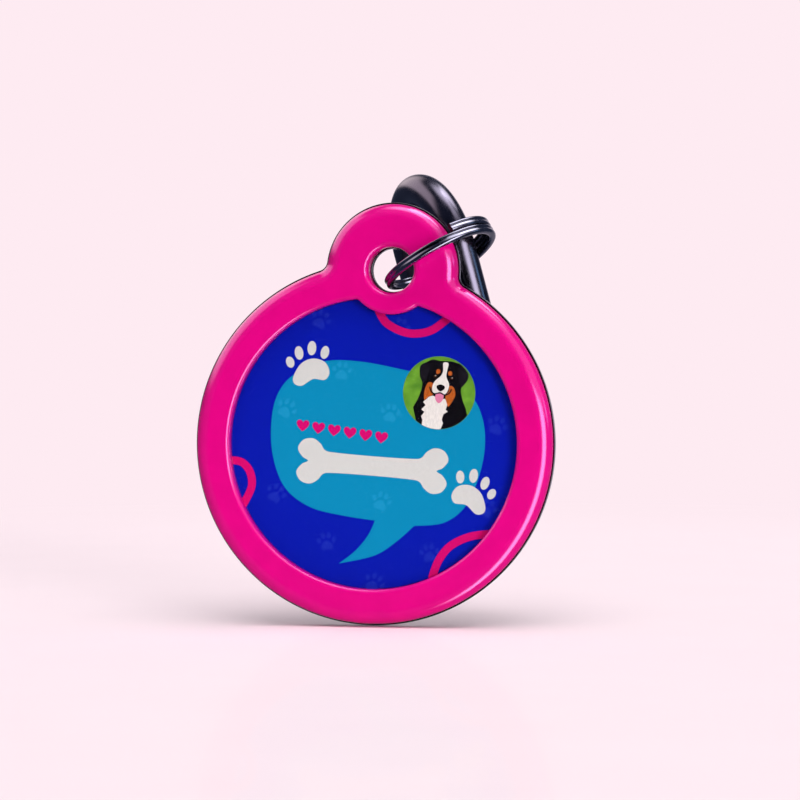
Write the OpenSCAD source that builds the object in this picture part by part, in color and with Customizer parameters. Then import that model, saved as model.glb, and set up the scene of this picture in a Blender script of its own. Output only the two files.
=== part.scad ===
// Round pet id tag with a framed picture insert, hung by a split ring from a strap ring.
// X is to the right, Y to the back and Z up. The origin is the centre of the strap slot.

/* [Tag body] */
// Diameter of the metal back plate
tag_d = 32; // [28:0.5:38]
// Thickness of the metal back plate
plate_t = 1; // [0.8:0.1:1.4]
// Radius on the back edge of the plate
plate_edge_r = 0.3; // [0.1:0.05:0.4]
// Diameter of the ear on the back plate
ear_d = 11.9; // [10.5:0.1:12.5]
// How far the ear's centre lies inside the plate's edge
ear_inset = 0.65; // [0.3:0.05:1.2]
// Hole through the back plate
hole_d = 3.8; // [3.4:0.1:4.4]
// Hollow radius between ear and plate
neck_r = 0.95; // [0.6:0.05:1.5]

/* [Colour frame] */
// How far the plate stands out round the frame
ledge = 0.15; // [0.05:0.05:0.3]
// Height of the frame above the plate
frame_h = 1.5; // [1.2:0.1:2]
// Width of the frame round the window
rim_w = 3.08; // [2.4:0.1:4]
// Radius on the frame's outer edge
outer_edge_r = 1.25; // [0.6:0.05:1.3]
// Radius on the lip round the window
window_lip_r = 0.4; // [0.2:0.05:0.5]
// Radius on the lip round the hole
hole_lip_r = 0.55; // [0.3:0.05:0.7]
// How much wider the frame's hole is than the plate's, on each side
hole_ledge = 0.1; // [0.05:0.05:0.2]
// Width of the frame between the hole and the window
boss_w = 1.9; // [1.5:0.1:2.4]
// Corner radius of the window beside the boss
corner_r = 0.5; // [0.3:0.05:0.7]

/* [Picture insert] */
// Thickness of the adhesive film
film_t = 0.1; // [0.05:0.05:0.2]
// Thickness of the printed disc
print_t = 0.3; // [0.2:0.05:0.4]
// Thickness of the clear cover
cover_t = 0.2; // [0.1:0.05:0.3]
// Gap between the insert and the frame
insert_gap = 0.04; // [0.02:0.01:0.1]

/* [Split ring] */
// Outer diameter of the split ring
ring_d = 10.6; // [10.2:0.1:12]
// Width of one strand, from the inside to the outside of the ring
strand_w = 0.7; // [0.6:0.02:0.8]
// Height of one strand
strand_h = 0.78; // [0.7:0.02:0.84]
// Gap between the two strands
strand_gap = 0.05; // [0.03:0.01:0.1]
// Depth of the groove that divides each strand
groove_depth = 0.06; // [0.03:0.01:0.1]

/* [Strap ring] */
// Wire diameter of the strap ring
wire_d = 3; // [2.8:0.1:3]
// Clear width of the slot, through the strap's thickness
slot_w = 8.2; // [8:0.1:9.4]
// Clear height of the slot, across the strap's width
slot_h = 21.2; // [20.6:0.1:24]
// Gap between the strap ring and the tag's back, where its leg passes through the split ring
wire_gap = 0.46; // [0.42:0.01:0.52]
// Room between the strap ring's leg and the right end of the split ring's inside
leg_room = 1.45; // [1.35:0.05:1.55]

/* [Pose] */
// How far the split ring's right end is lifted
ring_lift = 37; // [33:0.1:40]
// How far the split ring's near side is raised
ring_pitch = 12.7; // [10:0.1:16]
// How far the split ring is turned to the back
ring_turn = 4.6; // [2:0.1:8]
// How far the strap ring leans to the left
hanger_lean = 20.2; // [17:0.1:22]
// How far the strap ring's top leans to the front
hanger_tilt = 8.5; // [6:0.1:10]
// Turn of the strap ring about its front leg
hanger_turn = 120.5; // [112:0.5:128]

/* [Hidden] */
$fn = 96;

// Overrun that lets a cut pass right through
cut = 0.5;

// Tag outline, with Y up on the face and Z towards the viewer
plate_r = tag_d / 2;
ear_r = ear_d / 2;
ear_y = plate_r - ear_inset;
hole_r = hole_d / 2;
frame_r = plate_r - ledge;
frame_ear_r = ear_r - ledge;
frame_neck_r = neck_r + ledge;
frame_hole_r = hole_r + hole_ledge;
window_r = frame_r - rim_w;
boss_r = frame_hole_r + boss_w;

// Centre of the hollow between ear and plate
neck_y = (pow(plate_r + neck_r, 2) - pow(ear_r + neck_r, 2) + ear_y * ear_y) / (2 * ear_y);
neck_x = sqrt(pow(plate_r + neck_r, 2) - neck_y * neck_y);

// Centre of the rounded window corner, which touches the window from inside and the boss from outside
corner_y = (pow(window_r - corner_r, 2) - pow(boss_r + corner_r, 2) + ear_y * ear_y) / (2 * ear_y);
corner_x = sqrt(pow(window_r - corner_r, 2) - corner_y * corner_y);
corner_c = [corner_x, corner_y];
corner_reach = 3 * corner_r;

// How far a corner's cut bites into the window's and the boss's walls, so that it doesn't only touch them
corner_bite = 0.02;

// Heights of the insert above the plate
print_z = film_t;
cover_z = print_z + print_t;

// Split ring: its wire passes through the hole low down, and its centre follows from its radius. It has
// a long way, to the right end, and a short way, to the far side
ring_r = ring_d / 2;
strand_mid_r = ring_r - strand_w / 2;
strand_pitch = strand_h + strand_gap;
wire_from_wall = 0.55;
wire_side = -0.06;
wire_back = 0.16;
wire_seat = [wire_side, wire_back, ear_y - (hole_r - wire_from_wall)];
ring_long = [cos(ring_turn) * cos(ring_lift), sin(ring_turn) * cos(ring_lift), sin(ring_lift)];
ring_side = [cos(ring_turn) * sin(ring_lift) * sin(ring_pitch) - sin(ring_turn) * cos(ring_pitch),
             sin(ring_turn) * sin(ring_lift) * sin(ring_pitch) + cos(ring_turn) * cos(ring_pitch),
             -cos(ring_lift) * sin(ring_pitch)];
ring_c = wire_seat + strand_mid_r * ring_long;

// Place of the cut end round the ring, and the slope that takes the strand down a level in half a turn
cut_end = -63.3;
half_turn = 180;
step_slope = asin(strand_pitch / 2 / strand_mid_r);

// Strap ring: bends round each end of the slot, on the line of the middle of its wire
wire_r = wire_d / 2;
bend_r = (slot_w + wire_d) / 2;
leg_h = slot_h - slot_w;

// Directions of the strap ring: up along its legs, and from the front leg to the back leg
hanger_up = [-cos(hanger_tilt) * sin(hanger_lean), -sin(hanger_tilt), cos(hanger_tilt) * cos(hanger_lean)];
hanger_side = [cos(hanger_lean), 0, sin(hanger_lean)];
hanger_out = cross(hanger_up, hanger_side);
hanger_back = cos(hanger_turn) * hanger_side + sin(hanger_turn) * hanger_out;

// The front leg's middle passes through the split ring's plane here, seen along the ring's long and
// short ways, and its bend's top is this much higher along the leg
leg_long = ring_r - strand_w - wire_r - leg_room;
leg_short = (plate_t + wire_gap + wire_r - ring_c[1] - leg_long * ring_long[1]) / ring_side[1];
leg_point = ring_c + leg_long * ring_long + leg_short * ring_side;
leg_below_top = 6.02;
slot_c = leg_point + (leg_below_top - bend_r - leg_h / 2) * hanger_up + bend_r * hanger_back;

// Puts the tag's face upright, with its front to the viewer
module upright() {
    rotate([90, 0, 0]) children();
}

// Moves a piece from the tag's centre to the row's origin in the strap slot
module from_slot() {
    translate(-slot_c) children();
}

// Round post from z0 to z1 whose upper edge is rounded inwards
module post(r, z0, z1, e) {
    rotate_extrude()
        intersection() {
            translate([0, z0]) square([r, z1 - z0]);
            union() {
                translate([0, z0]) square([r - e, z1 - z0]);
                translate([0, z0]) square([r, z1 - z0 - e]);
                translate([r - e, z1 - e]) circle(r = e);
            }
        }
}

// Round cutter from z0 to z1 that flares outwards at the top by the edge radius
module flared_cutter(r, z0, z1, e) {
    rotate_extrude()
        difference() {
            translate([0, z0]) square([r + e, z1 - z0 + cut]);
            translate([r, z0 - cut]) square([e + cut, z1 - z0 - e + cut]);
            translate([r + e, z1 - e]) circle(r = e);
        }
}

// Disc with an ear, hollow necks and a rounded upper edge
module tag_blank(r, er, nr, z0, z1, e) {
    post(r, z0, z1, e);
    translate([0, ear_y]) post(er, z0, z1, e);
    for (side = [-1, 1])
        difference() {
            translate([0, 0, z0])
                linear_extrude(z1 - z0) polygon([[0, 0], [side * neck_x, neck_y], [0, ear_y]]);
            translate([side * neck_x, neck_y]) flared_cutter(nr, z0 - cut, z1, e);
        }
}

// Corner of material beside the boss, left of the window corner's circle, as an outline
module corner_outline(r) {
    to_window = corner_c / norm(corner_c);
    to_boss = ([0, ear_y] - corner_c) / norm([0, ear_y] - corner_c);
    difference() {
        polygon([corner_c, corner_c + corner_reach * to_window,
                 corner_c + corner_reach * (to_window + to_boss), corner_c + corner_reach * to_boss]);
        translate(corner_c) circle(r = r);
    }
}

// Outline of the insert, smaller than the window by the gap on every side
module insert_outline(gap) {
    difference() {
        circle(r = window_r - gap);
        translate([0, ear_y]) circle(r = boss_r + gap);
        for (side = [0, 1]) mirror([side, 0]) corner_outline(corner_r - gap);
    }
}

// Two small pieces that fill the corners between the boss and the window, each hollowed to a radius
module boss_corners() {
    for (side = [0, 1])
        mirror([side, 0])
            difference() {
                linear_extrude(frame_h)
                    polygon([corner_c, corner_c + corner_reach * corner_c / norm(corner_c),
                             [corner_x, ear_y], [0, ear_y]]);
                translate(corner_c) flared_cutter(corner_r + corner_bite, -cut, frame_h, window_lip_r);
            }
}

// One strand's section: two rounded ridges inside and outside, with a shallow groove between them
module strand_section() {
    ridge_r = strand_h / 4;
    inner_r = ring_r - strand_w;
    translate([inner_r + ridge_r, -strand_h / 2]) square([strand_w - 2 * ridge_r, strand_h]);
    translate([inner_r + groove_depth, -ridge_r]) square([strand_w - 2 * groove_depth, 2 * ridge_r]);
    for (x = [inner_r + ridge_r, ring_r - ridge_r], y = [-ridge_r, ridge_r])
        translate([x, y]) circle(r = ridge_r, $fn = 24);
}

// Half a turn of the strand, from an angle on
module half_strand(start) {
    rotate([0, 0, start]) rotate_extrude(angle = half_turn) strand_section();
}

// Polished metal plate that carries the frame and the insert, with the ear and its hole
module back_plate() {
    color("dimgray")
        from_slot() upright()
            difference() {
                mirror([0, 0, 1]) tag_blank(plate_r, ear_r, neck_r, 0, plate_t, plate_edge_r);
                translate([0, ear_y, -plate_t - cut]) cylinder(r = hole_r, h = plate_t + 2 * cut);
            }
}

// Pink frame with a rounded outer edge, an open window and a boss round the hole
module colour_frame() {
    color("deeppink")
        from_slot() upright()
            difference() {
                union() {
                    difference() {
                        tag_blank(frame_r, frame_ear_r, frame_neck_r, 0, frame_h, outer_edge_r);
                        flared_cutter(window_r, -cut, frame_h, window_lip_r);
                    }
                    translate([0, ear_y]) post(boss_r, 0, frame_h, window_lip_r);
                    boss_corners();
                }
                translate([0, ear_y]) flared_cutter(frame_hole_r, -cut, frame_h, hole_lip_r);
            }
}

// Thin adhesive that bonds the printed disc to the plate
module adhesive_film() {
    color("whitesmoke") from_slot() upright() linear_extrude(film_t) insert_outline(insert_gap);
}

// Printed picture disc
module print_disc() {
    color("mediumblue")
        from_slot() upright()
            translate([0, 0, print_z]) linear_extrude(print_t) insert_outline(insert_gap);
}

// Clear cover over the picture
module clear_cover() {
    color("lightskyblue", 0.4)
        from_slot() upright()
            translate([0, 0, cover_z]) linear_extrude(cover_t) insert_outline(insert_gap);
}

// Flat coil of one strand: half a turn on top, half a turn stepping down and half a turn below
module split_ring() {
    color("silver")
        from_slot() translate(ring_c) rotate([-ring_pitch, -ring_lift, ring_turn]) {
            translate([0, 0, strand_pitch / 2]) half_strand(cut_end);
            rotate([0, 0, cut_end + half_turn]) rotate([0, -step_slope, 0]) half_strand(0);
            translate([0, 0, -strand_pitch / 2]) half_strand(cut_end);
        }
}

// Thick wire ring round the strap: two legs and two half-round bends
module strap_ring() {
    color("slategray")
        rotate([hanger_tilt, -hanger_lean, 0]) rotate([0, 0, hanger_turn]) {
            for (end = [-1, 1])
                translate([end * bend_r, 0, -leg_h / 2]) cylinder(r = wire_r, h = leg_h);
            for (end = [0, 1])
                rotate([90, 0, 0]) mirror([0, end]) translate([0, leg_h / 2])
                    rotate_extrude(angle = half_turn) translate([bend_r, 0]) circle(r = wire_r);
        }
}

back_plate();
colour_frame();
adhesive_film();
print_disc();
clear_cover();
split_ring();
strap_ring();
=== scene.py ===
"""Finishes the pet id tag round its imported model: the tag with its picture, the split ring, the strap ring.

Lengths are in metres. The tag's face has its own directions: u to the right and v up, measured from the
middle of the plate's front, and heights towards the viewer.
"""
import math
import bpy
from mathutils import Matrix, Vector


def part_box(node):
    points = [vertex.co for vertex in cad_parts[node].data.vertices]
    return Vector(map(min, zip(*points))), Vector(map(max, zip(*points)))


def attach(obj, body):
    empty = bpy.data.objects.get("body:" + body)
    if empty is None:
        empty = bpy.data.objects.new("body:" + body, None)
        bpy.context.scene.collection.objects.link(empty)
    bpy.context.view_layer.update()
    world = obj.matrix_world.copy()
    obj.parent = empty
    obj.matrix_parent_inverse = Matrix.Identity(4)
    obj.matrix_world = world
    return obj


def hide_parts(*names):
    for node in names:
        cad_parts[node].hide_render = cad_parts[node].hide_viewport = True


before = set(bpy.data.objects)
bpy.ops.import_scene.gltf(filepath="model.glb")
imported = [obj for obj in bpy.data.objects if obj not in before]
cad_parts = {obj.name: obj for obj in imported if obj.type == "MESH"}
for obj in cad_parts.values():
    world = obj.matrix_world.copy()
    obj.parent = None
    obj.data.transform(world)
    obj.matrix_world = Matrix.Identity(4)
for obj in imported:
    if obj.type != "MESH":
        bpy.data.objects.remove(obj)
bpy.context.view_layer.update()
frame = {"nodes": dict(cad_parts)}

from types import SimpleNamespace

import bmesh
import bpy
from mathutils import Matrix, Vector
from mathutils.geometry import tessellate_polygon

bl_info = {
    "name": "Pet id tag",
    "version": (1, 0, 0),
    "blender": (4, 5, 0),
    "location": "3D View > Sidebar > Pet tag",
    "description": "Gives the packed pet id tag its shapes, print and finishes, and sets the stage",
    "category": "Object",
}

MM = 0.001
PLATE_LOW, PLATE_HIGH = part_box("back_plate")

# How finely round shapes are drawn, in steps
DISC_STEPS = 240
EAR_STEPS = 96
NECK_STEPS = 16
BEND_STEPS = 10
FRONT_EDGE_STEPS = 3
BACK_EDGE_STEPS = 6
OVAL_STEPS = 40
CAP_STEPS = 8
PORTRAIT_STEPS = 72
RIM_STEPS = 12
COIL_STEPS = 128
RIDGE_STEPS = 8
LOOP_STEPS = 144
WIRE_STEPS = 64

# Sharp edges are those that turn by more than this
SHARP_TURN = math.radians(35)

# A narrow flat band beside each rounding keeps the flat faces evenly lit
BAND = 0.04 * MM

# A face looks to the back when its normal's Y part is above this
FACING = 0.99

# The strand's sides are made of faces with four corners, and its cut ends of one face with more
SIDE_CORNERS = 4

# The strap ring's bends are the points of a circle that lie further than this above or below its middle
LEG_SPLIT = 0.1 * MM

# Points closer than this are merged
SAME_POINT = 0.0005 * MM

# Sockets that share their names with others: a Mix node's two colours and the mixed one, and a Random
# Value node's lowest, highest and chosen numbers
MIX_FIRST, MIX_LAST, MIXED = 6, 7, 2
CHANCE_FROM, CHANCE_TO, CHOSEN = 2, 3, 1

# The range that most of a noise lies in
NOISE_LOW, NOISE_HIGH = 0.3, 0.7


def srgb(red, green, blue):
    """A colour written as 0 to 255 per channel, in the linear values that Blender works in."""
    def linear(value):
        part = value / 255
        return part / 12.92 if part <= 0.04045 else ((part + 0.055) / 1.055) ** 2.4
    return linear(red), linear(green), linear(blue), 1.0


def length(name, description, default):
    """A size that a user may change, in metres."""
    return bpy.props.FloatProperty(
        name=name, description=description, default=default, subtype="DISTANCE", unit="LENGTH", min=0.0,
        precision=5)


def paint(name, description, red, green, blue):
    """A colour that a user may change, written as 0 to 255 per channel."""
    return bpy.props.FloatVectorProperty(
        name=name, description=description, default=srgb(red, green, blue), subtype="COLOR", size=4, min=0.0,
        max=1.0)


class TagSizes(bpy.types.PropertyGroup):
    """Sizes of the tag, as in the part's source."""
    plate_d: length("Plate width", "Width of the metal disc", PLATE_HIGH.x - PLATE_LOW.x)
    plate_t: length("Plate thickness", "Thickness of the metal plate", PLATE_HIGH.y - PLATE_LOW.y)
    plate_edge_r: length("Plate back edge", "Radius of the plate's rounded back edge", 0.3 * MM)
    plate_front_r: length("Plate front edge", "Radius of the plate's broken front edge", 0.05 * MM)
    ear_d: length("Ear width", "Width of the round ear", 11.9 * MM)
    ear_inset: length("Ear inset", "How far the ear's centre sits inside the disc's edge", 0.65 * MM)
    hole_d: length("Hole width", "Width of the ear's hole in the plate", 3.8 * MM)
    neck_r: length("Neck radius", "Radius of the hollow between ear and disc", 0.95 * MM)
    ledge: length("Ledge", "Width of plate that shows outside the frame", 0.15 * MM)
    hole_ledge: length("Hole ledge", "Width of plate that shows inside the frame's hole", 0.1 * MM)
    frame_h: length("Frame height", "Height of the colour frame above the plate", 1.5 * MM)
    rim_w: length("Rim width", "Width of the frame round the picture", 3.08 * MM)
    outer_edge_r: length("Outer rounding", "Radius of the frame's outer edge", 1.25 * MM)
    window_lip_r: length("Window lip", "Radius of the frame's edge round the window", 0.4 * MM)
    hole_lip_r: length("Hole lip", "Radius of the frame's edge round the hole", 0.55 * MM)
    boss_w: length("Boss width", "Width of the raised ring round the hole", 1.9 * MM)
    corner_r: length("Window corner", "Radius of the window's two corners beside the boss", 0.5 * MM)
    insert_gap: length("Insert gap", "Gap between the picture insert and the frame", 0.04 * MM)
    film_t: length("Adhesive thickness", "Thickness of the adhesive film", 0.1 * MM)
    print_t: length("Print thickness", "Thickness of the printed disc", 0.3 * MM)
    cover_t: length("Cover thickness", "Thickness of the clear cover", 0.2 * MM)
    ink_step: length("Ink layer", "Height of one layer of print above the one below", 0.02 * MM)


class RingSizes(bpy.types.PropertyGroup):
    """Sizes and places of the two rings, as in the part's source."""
    ring_d: length("Split ring width", "Width of the split ring", 10.6 * MM)
    strand_w: length("Strand width", "Width of the split ring's strand", 0.7 * MM)
    strand_h: length("Strand height", "Height of the split ring's strand", 0.78 * MM)
    strand_gap: length("Strand gap", "Gap between the split ring's turns", 0.05 * MM)
    groove_depth: length("Groove depth", "Depth of the groove along the strand", 0.06 * MM)
    turns: bpy.props.FloatProperty(
        name="Turns", description="Turns of the split ring's strand", default=1.5, min=1.0)
    cut_end: bpy.props.FloatProperty(
        name="Cut end", description="Place of the strand's cut end round the ring",
        default=math.radians(-63.3), subtype="ANGLE", unit="ROTATION")
    ring_centre: bpy.props.FloatVectorProperty(
        name="Split ring centre", description="Centre of the split ring in the part's frame",
        default=(-0.6059 * MM, -8.1538 * MM, 5.3871 * MM), size=3, subtype="TRANSLATION", unit="LENGTH")
    ring_turned: bpy.props.FloatVectorProperty(
        name="Split ring turn", description="Turn of the split ring about X, then Y, then Z",
        default=[math.radians(a) for a in (-12.7, -37.0, 4.6)], size=3, subtype="EULER")
    wire_d: length("Wire thickness", "Thickness of the strap ring's wire", 3.0 * MM)
    slot_w: length("Slot width", "Width of the strap ring's slot", 8.2 * MM)
    slot_h: length("Slot height", "Height of the strap ring's slot", 21.2 * MM)
    hanger_turned: bpy.props.FloatVectorProperty(
        name="Strap ring turn",
        description="Lean of the strap ring about X and Y, and its turn about its legs",
        default=[math.radians(a) for a in (8.5, -20.2, 120.5)], size=3, subtype="EULER")


class TagColours(bpy.types.PropertyGroup):
    """Colours of the tag, its print, the rings and the stage."""
    frame: paint("Frame", "Pink of the enamelled frame", 222, 4, 128)
    plate: paint("Plate", "Steel of the plate", 90, 86, 92)
    back: paint("Plate back", "Brushed steel of the plate's back", 178, 176, 180)
    rings: paint("Split ring", "Steel of the split ring", 118, 116, 130)
    # The split ring's cut ends are painted near-black, a painted shade.
    cut: paint("Cut ends", "Dark steel of the split ring's cut ends", 16, 15, 20)
    wire: paint("Strap ring", "Dark steel of the strap ring", 90, 86, 99)
    adhesive: paint("Adhesive", "Adhesive film", 225, 222, 214)
    field: paint("Field", "Blue ground of the print", 7, 26, 171)
    bubble: paint("Bubble", "Cyan of the speech bubble", 9, 139, 185)
    white: paint("White", "White of the paws and the bone", 211, 213, 209)
    bands: paint("Bands", "Magenta of the bands and hearts", 210, 12, 111)
    pale_paws: paint("Pale paws", "Blue of the small paws on the ground", 24, 43, 178)
    cyan_paws: paint("Cyan paws", "Cyan of the small paws on the bubble", 26, 149, 196)
    meadow: paint("Meadow", "Green of the portrait's ground", 112, 168, 52)
    coat: paint("Dark coat", "Near black of the dog's coat", 14, 12, 18)
    leaf_shade: paint("Leaf shade", "Darker green in the portrait's ground", 84, 140, 44)
    ear: paint("Ears", "Coat of the dog's ears", 26, 23, 31)
    tan: paint("Tan", "Tan of the dog's cheeks and brows", 184, 92, 36)
    eyes: paint("Eyes", "Brown of the dog's eyes", 70, 38, 22)
    tongue: paint("Tongue", "Pink of the dog's tongue", 222, 130, 166)
    cream: paint("Cream", "Cream of the dog's muzzle and chest", 232, 228, 222)
    floor: paint("Floor", "Pale floor and background", 254, 235, 242)


def tag_shape():
    """Radii and centres of the tag's outlines, worked out from its sizes."""
    s = bpy.context.scene.tag_sizes
    shape = SimpleNamespace(
        plate_r=s.plate_d / 2, ear_r=s.ear_d / 2, hole_r=s.hole_d / 2, neck_r=s.neck_r, corner_r=s.corner_r)
    shape.ear_v = shape.plate_r - s.ear_inset
    shape.frame_hole_r = shape.hole_r + s.hole_ledge
    shape.window_r = shape.plate_r - s.ledge - s.rim_w
    shape.boss_r = shape.frame_hole_r + s.boss_w
    shape.neck = meeting_point(shape.plate_r + s.neck_r, shape.ear_r + s.neck_r, shape.ear_v)
    shape.corner = meeting_point(shape.window_r - s.corner_r, shape.boss_r + s.corner_r, shape.ear_v)
    shape.middle = Vector(((PLATE_LOW.x + PLATE_HIGH.x) / 2, PLATE_LOW.y, PLATE_LOW.z + shape.plate_r))
    return shape


def meeting_point(from_disc, from_ear, ear_v):
    """The point to the right that lies so far from the disc's centre and so far from the ear's."""
    v = (from_disc ** 2 - from_ear ** 2 + ear_v ** 2) / (2 * ear_v)
    return math.sqrt(from_disc ** 2 - v ** 2), v


def arc(centre, radius, start, end, steps):
    """Points round an arc, without the last one, which the next arc starts with."""
    turns = (start + (end - start) * i / steps for i in range(steps))
    return [Vector((centre[0] + radius * math.cos(a), centre[1] + radius * math.sin(a))) for a in turns]


def blank_outline(shape, inset):
    """Outline of the disc, the hollow necks and the ear, moved inwards."""
    u, v = shape.neck
    from_disc = math.atan2(v, u)
    from_ear = math.atan2(v - shape.ear_v, u)
    return (
        arc((0, 0), shape.plate_r - inset, math.pi - from_disc, math.tau + from_disc, DISC_STEPS)
        + arc((u, v), shape.neck_r + inset, math.pi + from_disc, math.pi + from_ear, NECK_STEPS)
        + arc((0, shape.ear_v), shape.ear_r - inset, from_ear, math.pi - from_ear, EAR_STEPS)
        + arc((-u, v), shape.neck_r + inset, -from_ear, -from_disc, NECK_STEPS)
    )


def window_outline(shape, growth):
    """Outline of the frame's window, moved outwards."""
    u, v = shape.corner
    at_disc = math.atan2(v, u)
    at_boss = math.atan2(shape.ear_v - v, -u)
    return (
        arc((0, 0), shape.window_r + growth, math.pi - at_disc, math.tau + at_disc, DISC_STEPS)
        + arc((u, v), shape.corner_r + growth, at_disc, at_boss, NECK_STEPS)
        + arc((0, shape.ear_v), shape.boss_r - growth, at_boss - math.pi, -at_boss, EAR_STEPS)
        + arc((-u, v), shape.corner_r + growth, math.pi - at_boss, math.pi - at_disc, NECK_STEPS)
    )


def hole_outline(shape, radius):
    """Circle round the ear's hole."""
    return arc((0, shape.ear_v), radius, 0, math.tau, EAR_STEPS)


def rounding(radius, height, steps=BEND_STEPS):
    """(inset, height) steps over a rounded upper edge, from its side to its top."""
    turns = (math.pi / 2 * i / steps for i in range(steps + 1))
    return [(radius * (1 - math.cos(a)), height - radius * (1 - math.sin(a))) for a in turns]


class Shell:
    """A closed mesh on the tag's face, made of outlines at heights above the plate's front."""

    def __init__(self, shape):
        self.middle = shape.middle
        self.points = []
        self.faces = []

    def ring(self, outline, height):
        """Adds an outline and gives the numbers of its points."""
        first = len(self.points)
        self.points += [self.middle + Vector((p.x, -height, p.y)) for p in outline]
        return list(range(first, len(self.points)))

    def wall(self, rings, inner=False):
        """Joins rings in order, each to the next, for an outer wall or for the wall of an opening."""
        for low, high in zip(rings, rings[1:]):
            for i in range(len(low)):
                k = (i + 1) % len(low)
                face = (low[i], low[k], high[k], high[i])
                self.faces.append(face[::-1] if inner else face)

    def lid(self, rings, back=False):
        """Closes the first ring with a flat face that the other rings cut openings in."""
        numbers = [n for ring in rings for n in ring]
        flat = [[Vector((self.points[n].x, self.points[n].z, 0)) for n in ring] for ring in rings]
        places = sum(flat, [])
        for face in tessellate_polygon(flat):
            a, b, c = (places[i] for i in face)
            up = (b - a).cross(c - a).z > 0
            corners = [numbers[i] for i in face]
            self.faces.append(corners[::-1] if up == back else corners)

    def prism(self, outline, low, high):
        """A closed block with straight walls on an outline."""
        if sum(a.x * b.y - b.x * a.y for a, b in zip(outline, outline[1:] + outline[:1])) < 0:
            outline = outline[::-1]
        rings = [self.ring(outline, h) for h in (low, high)]
        self.wall(rings)
        self.lid(rings[:1], back=True)
        self.lid(rings[1:])

    def piece(self, name, material):
        """The finished mesh as an object."""
        mesh = bpy.data.meshes.new(name)
        mesh.from_pydata(self.points, [], self.faces)
        mesh.update()
        return mesh_piece(name, mesh, material)


def mesh_piece(name, mesh, material):
    """An object for a mesh that is already in place, with sharp edges marked and one material."""
    mesh.polygons.foreach_set("use_smooth", [True] * len(mesh.polygons))
    mesh.set_sharp_from_angle(angle=SHARP_TURN)
    mesh.materials.clear()
    mesh.materials.append(material)
    piece = bpy.data.objects.new(name, mesh)
    bpy.context.scene.collection.objects.link(piece)
    return piece


def second_finish(piece, material, chosen):
    """Gives the faces that pass a test another material."""
    piece.data.materials.append(material)
    for face in piece.data.polygons:
        face.material_index = int(chosen(face))


def keep(piece, body, slot, *nodes):
    """Ties a piece to its body and lets it stand for its CAD nodes, which it hides. The slot is not used."""
    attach(piece, body)
    if nodes:
        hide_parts(*nodes)


def node(tree, kind, inputs=None, **settings):
    """Adds a node. An input is named or numbered, and takes a value or another node's output."""
    made = tree.nodes.new(kind)
    for name, value in settings.items():
        setattr(made, name, value)
    for name, value in (inputs or {}).items():
        if isinstance(value, bpy.types.NodeSocket):
            tree.links.new(value, made.inputs[name])
        else:
            made.inputs[name].default_value = value
    return made


def empty_material(name):
    """A new material with only its output node."""
    material = bpy.data.materials.new(name)
    material.use_nodes = True
    tree = material.node_tree
    tree.nodes.clear()
    tree.nodes.new("ShaderNodeOutputMaterial")
    return material, tree


def surfaced(material, shader):
    """The material, with a shader as its surface."""
    tree = material.node_tree
    tree.links.new(shader.outputs[0], tree.nodes["Material Output"].inputs["Surface"])
    return material


def coated(material, inputs):
    """The material, with a Principled shader as its surface."""
    return surfaced(material, node(material.node_tree, "ShaderNodeBsdfPrincipled", inputs))


def blend(tree, share, first, second):
    """A mix of two shaders, which is all of the second where the share is 1."""
    return node(tree, "ShaderNodeMixShader", {0: share, 1: first.outputs[0], 2: second.outputs[0]})


def grain(tree, size, stretch=(1, 1, 1), detail=5.0, roughness=0.55):
    """Noise whose spots are about so many metres across, longer where the stretch is above 1."""
    place = node(tree, "ShaderNodeTexCoord")
    scaled = node(tree, "ShaderNodeMapping", {
        "Vector": place.outputs["Object"], "Scale": [1 / (size * s) for s in stretch]})
    noise = node(tree, "ShaderNodeTexNoise", {
        "Vector": scaled.outputs["Vector"], "Scale": 1.0, "Detail": detail, "Roughness": roughness})
    return noise.outputs["Fac"]


def ranged(tree, value, low, high, first, last, **settings):
    """A value between low and high, carried over to the range from first to last and kept inside it."""
    return node(tree, "ShaderNodeMapRange", {
        "Value": value, "From Min": low, "From Max": high, "To Min": first, "To Max": last},
        **settings).outputs["Result"]


def ramp(tree, value, low, high, first=0.0, last=1.0):
    """A smooth step from first to last while a value goes from low to high."""
    return ranged(tree, value, low, high, first, last, interpolation_type="SMOOTHSTEP")


def maths(tree, operation, *values):
    """The result of a sum on values or outputs."""
    return node(tree, "ShaderNodeMath", dict(enumerate(values)), operation=operation).outputs[0]


def spread(tree, value, low, high):
    """Spreads the usual range of a noise between two numbers."""
    return ranged(tree, value, NOISE_LOW, NOISE_HIGH, low, high)


def tinted(tree, colour, value, change):
    """A colour that gets lighter and darker with a noise, by a share of its value."""
    return node(tree, "ShaderNodeHueSaturation", {
        "Color": list(colour), "Value": spread(tree, value, 1 - change, 1 + change)}).outputs["Color"]


def relief(tree, reliefs):
    """Bumps laid over each other, from (height, depth in metres) pairs."""
    normal = None
    for height, depth in reliefs:
        inputs = {"Height": height, "Distance": depth, "Strength": 1.0}
        if normal is not None:
            inputs["Normal"] = normal
        normal = node(tree, "ShaderNodeBump", inputs).outputs["Normal"]
    return normal


def enamel_finish(name, colour):
    """Glossy enamel with the slight unevenness of a flowed coat, faint clouding and fine dust."""
    material, tree = empty_material(name)
    flow = grain(tree, 1.6 * MM, detail=2.0)
    dust = grain(tree, 0.12 * MM, detail=3.0)
    return coated(material, {
        "Base Color": tinted(tree, colour, flow, 0.03),
        "Roughness": spread(tree, dust, 0.1, 0.13),
        "IOR": 1.65,
        "Specular IOR Level": 0.8,
        "Specular Tint": (0.85, 0.5, 1.0, 1.0),
        "Normal": relief(tree, [(flow, 0.003 * MM), (dust, 0.00004 * MM)]),
    })


# Polished steel is this much smoother in some places and rougher in others
SMOOTHER, ROUGHER = 0.75, 1.3


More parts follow.
